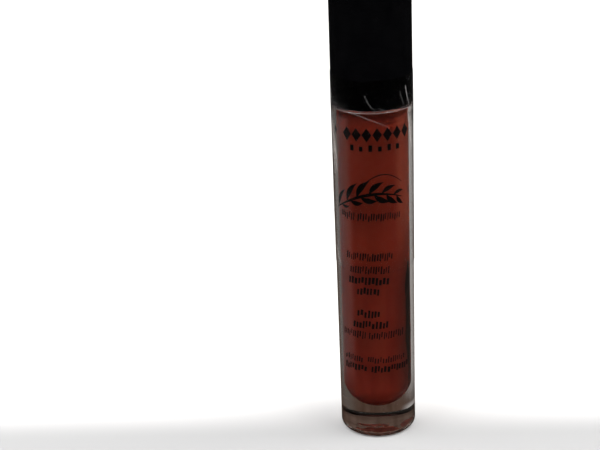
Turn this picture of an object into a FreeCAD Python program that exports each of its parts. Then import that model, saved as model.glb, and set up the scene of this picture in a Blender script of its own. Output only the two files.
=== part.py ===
import FreeCAD, Part
import math
import os

import Sketcher
from FreeCAD import Vector

# Liquid lipstick: a thick-walled clear bottle with a threaded neck, a wiper in
# the neck, and a screw cap that carries the applicator wand. Millimetres, +Z up,
# origin at the centre of the bottle's base. The wand's slanted face looks along -Y.

doc = FreeCAD.newDocument("LiquidLipstick")
sheet = doc.addObject("Spreadsheet::Sheet", "Dims")

DIMS = [
    # bottle
    ("bottle_height", 71.0),
    ("bottle_radius_top", 8.0),
    ("bottle_radius_base", 7.78),
    ("base_edge_radius", 0.85),
    ("shoulder_edge_radius", 0.35),
    ("recess_radius", 6.1),
    ("recess_depth", 0.25),
    ("chamber_radius", 4.4),
    ("chamber_radius_foot", 4.18),
    ("chamber_straight", 70.0),
    ("chamber_floor", 5.2),
    ("neck_radius", 5.56),
    ("neck_top", 84.0),
    ("neck_edge", 0.2),
    ("support_bead_radius", 6.1),
    ("support_bead_width", 0.7),
    # thread
    ("thread_lead", 3.0),
    ("thread_turns_neck", 1.35),
    ("thread_turns_cap", 1.3),
    ("thread_start_neck", 76.2),
    ("thread_start_cap", 74.7),
    ("thread_crest_neck", 5.98),
    ("thread_crest_cap", 6.03),
    ("thread_root_width", 1.3),
    ("thread_crest_width", 0.55),
    # wiper
    ("wiper_flange_radius", 5.3),
    ("wiper_flange_height", 0.6),
    ("wiper_outer_radius", 4.38),
    ("wiper_wall", 0.6),
    ("wiper_cone_top", 76.0),
    ("wiper_lip_top", 72.6),
    ("wiper_end", 71.8),
    ("wiper_orifice_radius", 2.05),
    ("wiper_lip", 0.35),
    # product
    ("fill_gap", 0.02),
    ("fill_top", 70.6),
    ("channel_radius", 2.1),
    ("channel_floor", 8.7),
    # label under the base
    ("label_radius", 5.9),
    ("label_thickness", 0.12),
    ("label_height", 0.12),
    # cap shell
    ("cap_rim", 71.25),
    ("cap_top", 116.0),
    ("cap_radius_rim", 8.0),
    ("cap_radius_top", 7.89),
    ("cap_wall", 0.75),
    ("cap_roof", 1.4),
    ("cap_edge_radius", 0.7),
    ("cap_rim_edge_radius", 0.18),
    ("cap_rib_depth", 1.1),
    ("cap_rib_width", 0.7),
    ("cap_rib_foot", 86.65),
    ("cap_bead_height", 80.0),
    ("cap_bead_radius", 7.12),
    # inner cap
    ("inner_rim", 71.8),
    ("inner_outer_radius", 7.2),
    ("inner_wall_radius", 6.46),
    ("inner_ceiling", 85.3),
    ("inner_roof", 86.6),
    ("inner_groove_radius", 7.04),
    ("socket_outer_radius", 3.3),
    ("socket_bore_radius", 1.9),
    ("socket_bore_top", 94.0),
    ("socket_top", 95.2),
    ("web_width", 0.8),
    # gasket
    ("gasket_inner_radius", 2.3),
    ("gasket_outer_radius", 5.35),
    # stem
    ("stem_radius", 1.75),
    ("stem_end", 20.6),
    ("stem_top", 93.6),
    ("stem_bore_radius", 0.92),
    ("stem_bore_depth", 6.0),
    ("barb_radius", 1.88),
    # tip
    ("tip_end", 9.5),
    ("tip_radius", 1.68),
    ("tip_neck_radius", 1.45),
    ("tip_peg_radius", 0.9),
    ("tip_peg_length", 5.6),
    ("flock_thickness", 0.25),
    ("flock_top", 20.2),
    ("tip_slant", 17.0),
    # clear seal sleeve
    ("sleeve_gap", 0.02),
    ("sleeve_thickness", 0.06),
    ("sleeve_foot", 37.4),
    ("sleeve_split_low", 71.05),
    ("sleeve_split_high", 71.2),
    ("sleeve_head", 77.4),
]
VALUE = dict(DIMS)
for row, (alias, number) in enumerate(DIMS, start=1):
    sheet.set("A%d" % row, alias)
    sheet.set("B%d" % row, str(number))
    sheet.setAlias("B%d" % row, alias)
doc.recompute()


class Q:
    """A size: its number in millimetres, and the same thing as a formula over the sheet."""

    def __init__(self, number, formula):
        self.number, self.formula = float(number), formula

    def _other(self, o):
        return o if isinstance(o, Q) else Q(o, repr(float(o)))

    def __add__(self, o):
        o = self._other(o)
        return Q(self.number + o.number, "(%s + %s)" % (self.formula, o.formula))

    __radd__ = __add__

    def __sub__(self, o):
        o = self._other(o)
        return Q(self.number - o.number, "(%s - %s)" % (self.formula, o.formula))

    def __rsub__(self, o):
        return self._other(o) - self

    def __mul__(self, o):
        o = self._other(o)
        return Q(self.number * o.number, "(%s * %s)" % (self.formula, o.formula))

    __rmul__ = __mul__

    def __truediv__(self, o):
        o = self._other(o)
        return Q(self.number / o.number, "(%s / %s)" % (self.formula, o.formula))


def D(alias):
    return Q(VALUE[alias], "Dims." + alias)


def C(number):
    return Q(number, repr(float(number)))


def as_q(x):
    return x if isinstance(x, Q) else C(x)


PARTS = []  # objects whose shapes are written, in order


def body(label):
    b = doc.addObject("PartDesign::Body", label)
    b.Label = label
    return b


def plane(b, role):
    return [f for f in b.Origin.OriginFeatures if f.Role == role][0]


def sketch_on(b, name, role="XZ_Plane"):
    s = b.newObject("Sketcher::SketchObject", name)
    s.AttachmentSupport = [(plane(b, role), "")]
    s.MapMode = "FlatFace"
    return s


def closed_profile(s, points, arcs=None):
    """Closed outline through points (x, y), each a Q or number, pinned to the origin by
    named dimensions. arcs maps a side's index to (centre x, centre y, radius, turn),
    turn +1 when it runs counter-clockwise."""
    arcs = arcs or {}
    pts = [(as_q(x), as_q(y)) for x, y in points]
    count = len(pts)
    for i in range(count):
        (x0, y0), (x1, y1) = pts[i], pts[(i + 1) % count]
        a, b = Vector(x0.number, y0.number, 0), Vector(x1.number, y1.number, 0)
        if i in arcs:
            cx, cy, r, turn = arcs[i]
            cx, cy, r = as_q(cx), as_q(cy), as_q(r)
            c = Vector(cx.number, cy.number, 0)
            circle = Part.Circle(c, Vector(0, 0, 1), r.number)
            ta = math.atan2(a.y - c.y, a.x - c.x)
            tb = math.atan2(b.y - c.y, b.x - c.x)
            if turn < 0:
                ta, tb = tb, ta
            while tb <= ta:
                tb += 2 * math.pi
            s.addGeometry(Part.ArcOfCircle(circle, ta, tb), False)
        else:
            s.addGeometry(Part.LineSegment(a, b), False)

    def end(i, last):
        """Which end of side i is its first or last point."""
        if i in arcs and arcs[i][3] < 0:
            return 1 if last else 2
        return 2 if last else 1

    for i in range(count):
        j = (i + 1) % count
        s.addConstraint(
            Sketcher.Constraint("Coincident", i, end(i, True), j, end(j, False))
        )
    for i, (x, y) in enumerate(pts):
        for axis, q in (("X", x), ("Y", y)):
            if abs(q.number) < 1e-9:
                s.addConstraint(
                    Sketcher.Constraint(
                        "PointOnObject", i, end(i, False), -2 if axis == "X" else -1
                    )
                )
                continue
            n = s.addConstraint(
                Sketcher.Constraint(
                    "Distance" + axis, -1, 1, i, end(i, False), q.number
                )
            )
            if "Dims." in q.formula:
                label = "%s%d" % (axis.lower(), i)
                s.renameConstraint(n, label)
                s.setExpression("Constraints." + label, q.formula)
    for i, (cx, cy, r, turn) in arcs.items():
        r = as_q(r)
        n = s.addConstraint(Sketcher.Constraint("Radius", i, r.number))
        if "Dims." in r.formula:
            s.renameConstraint(n, "r%d" % i)
            s.setExpression("Constraints.r%d" % i, r.formula)
    return s


def revolve(b, name, points, arcs=None, groove=False):
    s = sketch_on(b, name + "Profile")
    closed_profile(s, points, arcs)
    doc.recompute()
    f = b.newObject(
        "PartDesign::Groove" if groove else "PartDesign::Revolution", name
    )
    f.Profile = s
    f.ReferenceAxis = (s, ["V_Axis"])
    f.Angle = 360.0
    b.Tip = f
    s.Visibility = False
    doc.recompute()
    return f


def helix(b, name, root, crest, start, turns):
    """A trapezoid ridge swept up the thread's helix and joined to the body."""
    s = sketch_on(b, name + "Profile")
    wide, slim = D("thread_root_width"), D("thread_crest_width")
    closed_profile(
        s,
        [
            (root, start - wide / 2),
            (crest, start - slim / 2),
            (crest, start + slim / 2),
            (root, start + wide / 2),
        ],
    )
    doc.recompute()
    f = b.newObject("PartDesign::AdditiveHelix", name)
    f.Profile = s
    f.ReferenceAxis = (s, ["V_Axis"])
    f.Mode = "pitch-turns-angle"
    f.Pitch = VALUE["thread_lead"]
    f.setExpression("Pitch", "Dims.thread_lead")
    f.Turns = turns.number
    f.setExpression("Turns", turns.formula)
    f.LeftHanded = False
    f.Reversed = False
    b.Tip = f
    s.Visibility = False
    doc.recompute()
    return f


def keep(obj, label):
    obj.Label = label
    PARTS.append(obj)
    return obj


# ---------------------------------------------------------------- bottle
e = D("base_edge_radius")
k = D("shoulder_edge_radius")
rb, rt = D("bottle_radius_base"), D("bottle_radius_top")
rc, floor_ = D("chamber_radius"), D("chamber_floor")
rcf = D("chamber_radius_foot")
bottle = body("bottle")
revolve(
    bottle,
    "BottleWall",
    [
        (0, D("recess_depth")),
        (D("recess_radius"), D("recess_depth")),
        (D("recess_radius"), 0),
        (rb - e, 0),
        (rb, e),
        (rt, D("bottle_height") - k),
        (rt - k, D("bottle_height")),
        (D("support_bead_radius"), D("bottle_height")),
        (D("support_bead_radius"), D("bottle_height") + D("support_bead_width")),
        (D("neck_radius"), D("bottle_height") + D("support_bead_width")),
        (D("neck_radius"), D("neck_top") - D("neck_edge")),
        (D("neck_radius") - D("neck_edge"), D("neck_top")),
        (rc, D("neck_top")),
        (rc, D("chamber_straight")),
        (rcf, floor_ + rcf),
        (0, floor_),
    ],
    {
        3: (rb - e, e, e, 1),
        5: (rt - k, D("bottle_height") - k, k, 1),
        14: (0, floor_ + rcf, rcf, -1),
    },
)
helix(
    bottle,
    "NeckThread",
    D("neck_radius") - 0.15,
    D("thread_crest_neck"),
    D("thread_start_neck"),
    D("thread_turns_neck"),
)
keep(bottle, "bottle")

# ---------------------------------------------------------------- label in the base recess
label = doc.addObject("Part::Cylinder", "ShadeLabel")
label.Radius = VALUE["label_radius"]
label.setExpression("Radius", "Dims.label_radius")
label.Height = VALUE["label_thickness"]
label.setExpression("Height", "Dims.label_thickness")
label.setExpression("Placement.Base.z", "Dims.label_height")
keep(label, "shade_label")

# ---------------------------------------------------------------- wiper
wo = D("wiper_outer_radius")
wi = wo - D("wiper_wall")
orifice = D("wiper_orifice_radius")
lip = D("wiper_lip")
wiper = body("wiper")
revolve(
    wiper,
    "WiperWall",
    [
        (wi, D("wiper_cone_top")),
        (orifice, D("wiper_lip_top")),
        (orifice, D("wiper_end")),
        (orifice + lip, D("wiper_end")),
        (orifice + lip + 0.1, D("wiper_lip_top") - 0.2),
        (wo - 0.1, D("wiper_cone_top") - 0.6),
        (wo, D("wiper_cone_top")),
        (wo, D("neck_top")),
        (D("wiper_flange_radius"), D("neck_top")),
        (D("wiper_flange_radius"), D("neck_top") + D("wiper_flange_height") - 0.15),
        (D("wiper_flange_radius") - 0.15, D("neck_top") + D("wiper_flange_height")),
        (wi + 0.25, D("neck_top") + D("wiper_flange_height")),
        (wi, D("neck_top") + D("wiper_flange_height") - 0.4),
    ],
)
keep(wiper, "wiper")

# ---------------------------------------------------------------- liquid product
rf = rc - D("fill_gap")
rff = rcf - D("fill_gap")
fill = body("lipstick_fill")
revolve(
    fill,
    "FillBody",
    [
        (0, floor_ + D("fill_gap")),
        (rff, floor_ + rcf),
        (rf, D("chamber_straight")),
        (rf, D("fill_top")),
        (D("channel_radius"), D("fill_top")),
        (D("channel_radius"), D("channel_floor")),
        (0, D("channel_floor")),
    ],
    {0: (0, floor_ + rcf, rff, 1)},
)
keep(fill, "lipstick_fill")

# ---------------------------------------------------------------- cap shell
cr, ct = D("cap_radius_rim"), D("cap_radius_top")
cw, ce = D("cap_wall"), D("cap_edge_radius")
re_ = D("cap_rim_edge_radius")
shell = body("cap_shell")
revolve(
    shell,
    "CapWall",
    [
        (cr - cw, D("cap_rim")),
        (cr - re_, D("cap_rim")),
        (cr, D("cap_rim") + re_),
        (ct, D("cap_top") - ce),
        (ct - ce, D("cap_top")),
        (0, D("cap_top")),
        (0, D("cap_top") - D("cap_roof")),
        (ct - cw, D("cap_top") - D("cap_roof")),
        (cr - cw, D("cap_bead_height") + 0.5),
        (D("cap_bead_radius"), D("cap_bead_height") + 0.25),
        (D("cap_bead_radius"), D("cap_bead_height") - 0.25),
        (cr - cw, D("cap_bead_height") - 0.5),
    ],
    {
        1: (cr - re_, D("cap_rim") + re_, re_, 1),
        3: (ct - ce, D("cap_top") - ce, ce, 1),
    },
)
# six ribs stand inside the roof and stop on the inner cap
s = sketch_on(shell, "RibProfile", "XY_Plane")
w2 = D("cap_rib_width") / 2
inner_at_top = ct - cw
closed_profile(
    s,
    [
        (inner_at_top - D("cap_rib_depth"), C(0) - w2),
        (inner_at_top + 0.3, C(0) - w2),
        (inner_at_top + 0.3, w2),
        (inner_at_top - D("cap_rib_depth"), w2),
    ],
)
s.AttachmentOffset = FreeCAD.Placement(
    Vector(0, 0, VALUE["cap_rib_foot"]), FreeCAD.Rotation()
)
s.setExpression("AttachmentOffset.Base.z", "Dims.cap_rib_foot")
doc.recompute()
rib = shell.newObject("PartDesign::Pad", "Rib")
rib.Profile = s
rib.Length = VALUE["cap_top"] - VALUE["cap_roof"] - VALUE["cap_rib_foot"] + 0.4
rib.setExpression(
    "Length", "Dims.cap_top - Dims.cap_roof - Dims.cap_rib_foot + 0.4"
)
shell.Tip = rib
doc.recompute()
ribs = shell.newObject("PartDesign::PolarPattern", "Ribs")
ribs.Originals = [rib]
ribs.Axis = (s, ["N_Axis"])
ribs.Angle = 360.0
ribs.Occurrences = 6
shell.Tip = ribs
s.Visibility = False
doc.recompute()
keep(shell, "cap_shell")

# ---------------------------------------------------------------- inner cap
io, iw = D("inner_outer_radius"), D("inner_wall_radius")
inner = body("inner_cap")
revolve(
    inner,
    "InnerWall",
    [
        (iw + 0.15, D("inner_rim")),
        (io, D("inner_rim")),
        (io, D("cap_bead_height") - 0.6),
        (D("inner_groove_radius"), D("cap_bead_height") - 0.4),
        (D("inner_groove_radius"), D("cap_bead_height") + 0.4),
        (io, D("cap_bead_height") + 0.6),
        (io, D("inner_roof") - 0.3),
        (io - 0.3, D("inner_roof")),
        (D("socket_outer_radius"), D("inner_roof")),
        (D("socket_outer_radius") - 0.2, D("socket_top")),
        (0, D("socket_top")),
        (0, D("socket_bore_top")),
        (D("socket_bore_radius"), D("socket_bore_top")),
        (D("socket_bore_radius"), D("inner_ceiling")),
        (iw, D("inner_ceiling")),
        (iw, D("inner_rim") + 0.5),
    ],
)
helix(
    inner,
    "CapThread",
    iw + 0.15,
    D("thread_crest_cap"),
    D("thread_start_cap"),
    D("thread_turns_cap"),
)
# four webs brace the stem socket against the roof of the inner cap
s = sketch_on(inner, "WebProfile", "XZ_Plane")
closed_profile(
    s,
    [
        (D("socket_outer_radius") - 0.5, D("inner_roof") - 0.3),
        (io - 1.2, D("inner_roof") - 0.3),
        (D("socket_outer_radius") - 0.5, D("socket_top") - 1.6),
    ],
)
doc.recompute()
web = inner.newObject("PartDesign::Pad", "Web")
web.Profile = s
web.Length = VALUE["web_width"]
web.setExpression("Length", "Dims.web_width")
web.Midplane = True
inner.Tip = web
doc.recompute()
webs = inner.newObject("PartDesign::PolarPattern", "Webs")
webs.Originals = [web]
webs.Axis = (s, ["V_Axis"])
webs.Angle = 360.0
webs.Occurrences = 4
inner.Tip = webs
s.Visibility = False
doc.recompute()
keep(inner, "inner_cap")

# ---------------------------------------------------------------- gasket
gasket = body("neck_gasket")
revolve(
    gasket,
    "GasketRing",
    [
        (D("gasket_inner_radius"), D("neck_top") + D("wiper_flange_height")),
        (D("gasket_outer_radius"), D("neck_top") + D("wiper_flange_height")),
        (D("gasket_outer_radius"), D("inner_ceiling")),
        (D("gasket_inner_radius"), D("inner_ceiling")),
    ],
)
keep(gasket, "neck_gasket")

# ---------------------------------------------------------------- stem
sr, se, st = D("stem_radius"), D("stem_end"), D("stem_top")
bore, deep = D("stem_bore_radius"), D("stem_bore_depth")
barb = D("barb_radius")
outline = [
    (0, se + deep),
    (bore, se + deep),
    (bore, se),
    (sr - 0.15, se),
    (sr, se + 0.25),
    (sr, 86.4),
]
for z in (87.0, 89.2, 91.4):
    outline += [(barb, z), (barb, z + 0.5), (sr, z + 1.3)]
outline += [(sr, st - 0.4), (sr - 0.4, st), (0, st)]
stem = body("applicator_stem")
revolve(stem, "StemRod", outline)
keep(stem, "applicator_stem")


# ---------------------------------------------------------------- doe-foot tip
def doe_foot(b, name, radius, top, end, neck, peg):
    """A round-ended finger with a slanted flat face on its -Y side."""
    shape = [
        (0, end),
        (radius, end + radius),
        (radius, top - 1.6),
        (neck, top),
    ]
    if peg:
        shape += [
            (D("tip_peg_radius"), top),
            (D("tip_peg_radius"), top + D("tip_peg_length") - 0.3),
            (D("tip_peg_radius") - 0.3, top + D("tip_peg_length")),
            (0, top + D("tip_peg_length")),
        ]
    else:
        shape += [(0, top)]
    revolve(b, name + "Finger", shape, {0: (0, end + radius, radius, 1)})
    # the slanted cut, drawn in the YZ plane and cut right through
    cut = sketch_on(b, name + "Slant", "YZ_Plane")
    rise = 8.2
    lean = rise * math.tan(math.radians(VALUE["tip_slant"]))
    low = end - 0.4
    closed_profile(
        cut,
        [
            (-3.2, low),
            (C(lean - radius.number - 0.32 if peg else lean - radius.number - 0.3), low),
            (C(-radius.number - 0.32), low + rise),
            (-3.2, low + rise),
        ],
    )
    doc.recompute()
    pocket = b.newObject("PartDesign::Pocket", name + "Face")
    pocket.Profile = cut
    pocket.Type = 1
    pocket.Midplane = True
    b.Tip = pocket
    cut.Visibility = False
    doc.recompute()
    return pocket


core = body("applicator_tip")
doe_foot(
    core,
    "Core",
    D("tip_radius"),
    D("stem_end"),
    D("tip_end"),
    D("tip_neck_radius"),
    True,
)
keep(core, "applicator_tip")

outer = body("FlockOuter")
doe_foot(
    outer,
    "Flock",
    D("tip_radius") + D("flock_thickness"),
    D("flock_top"),
    D("tip_end") - D("flock_thickness"),
    D("tip_neck_radius") + D("flock_thickness"),
    False,
)
flock = doc.addObject("Part::Cut", "FlockLayer")
flock.Base = outer
flock.Tool = core
doc.recompute()
keep(flock, "applicator_flock")


# ---------------------------------------------------------------- clear seal sleeve
# shrunk on: the lower half follows the bottle's taper, the upper half the cap's
def ring(label_, low, high, radius_low, radius_high):
    b = body(label_)
    gap, thick = D("sleeve_gap"), D("sleeve_thickness")
    revolve(
        b,
        label_.title().replace("_", ""),
        [
            (radius_low + gap, D(low)),
            (radius_low + gap + thick, D(low)),
            (radius_high + gap + thick, D(high)),
            (radius_high + gap, D(high)),
        ],
    )
    return keep(b, label_)


ring(
    "seal_sleeve_lower",
    "sleeve_foot",
    "sleeve_split_low",
    rb + (rt - rb) * D("sleeve_foot") / D("bottle_height"),
    rt,
)
ring(
    "seal_sleeve_upper",
    "sleeve_split_high",
    "sleeve_head",
    cr,
    cr - (cr - ct) * (D("sleeve_head") - D("cap_rim")) / (D("cap_top") - D("cap_rim")),
)

# ---------------------------------------------------------------- checks and export
doc.recompute()
for o in doc.Objects:
    if any(word in o.State for word in ("Invalid", "Error")):
        raise RuntimeError("%s is %s" % (o.Label, o.State))
os.makedirs("parts", exist_ok=True)
for o in PARTS:
    shape = o.Shape
    if shape.isNull() or not shape.isValid() or not shape.Solids:
        raise RuntimeError("%s has no valid solid" % o.Label)
for o in PARTS:
    shape = o.Shape
    box = shape.BoundBox
    print(
        "%-20s solids %d volume %9.2f mm3  x %.2f..%.2f y %.2f..%.2f z %.2f..%.2f"
        % (
            o.Label,
            len(shape.Solids),
            shape.Volume,
            box.XMin,
            box.XMax,
            box.YMin,
            box.YMax,
            box.ZMin,
            box.ZMax,
        )
    )
    shape.exportStep("parts/%s.step" % o.Label)
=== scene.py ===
import bpy
import bmesh
import math
import random
from mathutils import Matrix, Vector


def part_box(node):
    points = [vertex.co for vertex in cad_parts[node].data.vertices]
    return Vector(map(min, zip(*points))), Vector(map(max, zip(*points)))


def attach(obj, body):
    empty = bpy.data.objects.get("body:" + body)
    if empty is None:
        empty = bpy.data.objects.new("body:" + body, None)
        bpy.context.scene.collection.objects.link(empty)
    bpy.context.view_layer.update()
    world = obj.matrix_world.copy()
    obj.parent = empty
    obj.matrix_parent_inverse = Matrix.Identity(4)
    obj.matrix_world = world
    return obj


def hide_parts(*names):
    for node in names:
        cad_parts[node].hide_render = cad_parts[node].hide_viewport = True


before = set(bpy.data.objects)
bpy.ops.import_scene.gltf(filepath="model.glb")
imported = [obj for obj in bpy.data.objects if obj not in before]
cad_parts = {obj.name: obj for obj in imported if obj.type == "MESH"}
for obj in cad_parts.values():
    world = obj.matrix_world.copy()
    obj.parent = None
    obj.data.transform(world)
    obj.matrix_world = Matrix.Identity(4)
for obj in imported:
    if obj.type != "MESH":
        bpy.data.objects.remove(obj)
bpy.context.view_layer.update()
MM = 0.001
TAU = 2.0 * math.pi
scene = bpy.context.scene
rnd = random.Random(7)

# ------------------------------------------------------------------ camera
# Fitted to the picture's outline, shoulder, base and print rows (millimetres, degrees).
F_PX = 1470.42
CAM = Vector((0.86, -274.43, 158.39))
YAW, PITCH, ROLL = (math.radians(a) for a in (-3.315, 22.414, -2.396))
_cy, _sy = math.cos(YAW), math.sin(YAW)
_cp, _sp = math.cos(PITCH), math.sin(PITCH)
_cr, _sr = math.cos(ROLL), math.sin(ROLL)
_fw = Vector((_sy * _cp, _cy * _cp, -_sp))
_r0 = Vector((_cy, -_sy, 0.0))
_u0 = _r0.cross(_fw)
_right = _cr * _r0 + _sr * _u0
_up = -_sr * _r0 + _cr * _u0
cam_data = bpy.data.cameras.new("camera")
cam_data.sensor_width = 36.0
cam_data.lens = F_PX / 600.0 * 36.0
cam_data.clip_start = 0.005
cam_data.clip_end = 20.0
cam = bpy.data.objects.new("camera", cam_data)
scene.collection.objects.link(cam)
cam.matrix_world = Matrix(
    (
        (_right.x, _up.x, -_fw.x, CAM.x * MM),
        (_right.y, _up.y, -_fw.y, CAM.y * MM),
        (_right.z, _up.z, -_fw.z, CAM.z * MM),
        (0, 0, 0, 1),
    )
)
scene.camera = cam


# ------------------------------------------------------------------ node helpers
def new_material(name):
    m = bpy.data.materials.new(name)
    m.use_nodes = True
    nt = m.node_tree
    for n in list(nt.nodes):
        nt.nodes.remove(n)
    out = nt.nodes.new("ShaderNodeOutputMaterial")
    bsdf = nt.nodes.new("ShaderNodeBsdfPrincipled")
    nt.links.new(bsdf.outputs["BSDF"], out.inputs["Surface"])
    return m, nt, bsdf, out


def coords(nt, scale=1.0, stretch=(1, 1, 1)):
    """Object coordinates in millimetres, times scale and stretch."""
    tc = nt.nodes.new("ShaderNodeTexCoord")
    mp = nt.nodes.new("ShaderNodeMapping")
    k = 1000.0 * scale
    mp.inputs["Scale"].default_value = (k * stretch[0], k * stretch[1], k * stretch[2])
    nt.links.new(tc.outputs["Object"], mp.inputs["Vector"])
    return mp.outputs["Vector"]


def noise(nt, vec, scale, detail=4.0, rough=0.5, distort=0.0):
    n = nt.nodes.new("ShaderNodeTexNoise")
    n.inputs["Scale"].default_value = scale
    n.inputs["Detail"].default_value = detail
    n.inputs["Roughness"].default_value = rough
    n.inputs["Distortion"].default_value = distort
    nt.links.new(vec, n.inputs["Vector"])
    return n.outputs["Fac"]


def ramp(nt, fac, stops, interp="LINEAR"):
    r = nt.nodes.new("ShaderNodeValToRGB")
    r.color_ramp.interpolation = interp
    el = r.color_ramp.elements
    while len(el) > 1:
        el.remove(el[-1])
    for i, (p, c) in enumerate(stops):
        if isinstance(c, (int, float)):
            c = (c, c, c)
        e = el[0] if i == 0 else el.new(p)
        e.position = p
        e.color = (c[0], c[1], c[2], 1.0)
    nt.links.new(fac, r.inputs["Fac"])
    return r.outputs["Color"]


def remap(nt, fac, a, b, c, d, smooth=False):
    m = nt.nodes.new("ShaderNodeMapRange")
    m.clamp = True
    if smooth:
        m.interpolation_type = "SMOOTHSTEP"
    m.inputs["From Min"].default_value = a
    m.inputs["From Max"].default_value = b
    m.inputs["To Min"].default_value = c
    m.inputs["To Max"].default_value = d
    nt.links.new(fac, m.inputs["Value"])
    return m.outputs["Result"]


def maths(nt, op, a, b=None):
    m = nt.nodes.new("ShaderNodeMath")
    m.operation = op
    for i, v in enumerate((a, b)):
        if v is None:
            continue
        if isinstance(v, (int, float)):
            m.inputs[i].default_value = v
        else:
            nt.links.new(v, m.inputs[i])
    return m.outputs[0]


def mix_colour(nt, fac, a, b):
    m = nt.nodes.new("ShaderNodeMix")
    m.data_type = "RGBA"
    nt.links.new(fac, m.inputs["Factor"])
    for key, v in (("A", a), ("B", b)):
        sock = [s for s in m.inputs if s.name == key and s.type == "RGBA"][0]
        if isinstance(v, tuple):
            sock.default_value = (*v, 1.0)
        else:
            nt.links.new(v, sock)
    return [s for s in m.outputs if s.type == "RGBA"][0]


def bump(nt, height, strength, distance_mm):
    b = nt.nodes.new("ShaderNodeBump")
    b.inputs["Strength"].default_value = strength
    b.inputs["Distance"].default_value = distance_mm * MM
    nt.links.new(height, b.inputs["Height"])
    return b.outputs["Normal"]


def z_of(nt):
    tc = nt.nodes.new("ShaderNodeTexCoord")
    sep = nt.nodes.new("ShaderNodeSeparateXYZ")
    nt.links.new(tc.outputs["Object"], sep.inputs[0])
    return maths(nt, "MULTIPLY", sep.outputs["Z"], 1000.0)


def radius_of(nt):
    """Distance from the axis in millimetres."""
    tc = nt.nodes.new("ShaderNodeTexCoord")
    sep = nt.nodes.new("ShaderNodeSeparateXYZ")
    nt.links.new(tc.outputs["Object"], sep.inputs[0])
    x2 = maths(nt, "MULTIPLY", sep.outputs["X"], sep.outputs["X"])
    y2 = maths(nt, "MULTIPLY", sep.outputs["Y"], sep.outputs["Y"])
    return maths(nt, "MULTIPLY", maths(nt, "SQRT", maths(nt, "ADD", x2, y2)), 1000.0)


def lin(r, g, b):
    """sRGB 0..255 to linear."""
    out = []
    for v in (r, g, b):
        v /= 255.0
        out.append(v / 12.92 if v <= 0.04045 else ((v + 0.055) / 1.055) ** 2.4)
    return tuple(out)


# ------------------------------------------------------------------ materials
def mat_bottle():
    """Thick clear plastic: faint flow ripple from moulding, fine handling scratches."""
    m, nt, b, _ = new_material("clear_bottle_plastic")
    b.inputs["Base Color"].default_value = (0.90, 0.88, 0.86, 1)
    b.inputs["Transmission Weight"].default_value = 1.0
    b.inputs["IOR"].default_value = 1.55
    b.inputs["Specular Tint"].default_value = (0.6, 0.6, 0.6, 1)
    v = coords(nt, 1.0, (1, 1, 0.35))
    flow = noise(nt, v, 0.35, 2.0, 0.4, 0.6)
    fine = noise(nt, coords(nt, 1.0, (1, 1, 0.08)), 5.0, 3.0, 0.55)
    scr = ramp(nt, fine, [(0.0, 0.0), (0.62, 0.0), (0.70, 1.0), (1.0, 1.0)])
    nt.links.new(remap(nt, scr, 0, 1, 0.012, 0.07), b.inputs["Roughness"])
    nt.links.new(bump(nt, flow, 0.35, 0.035), b.inputs["Normal"])
    return m


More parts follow.
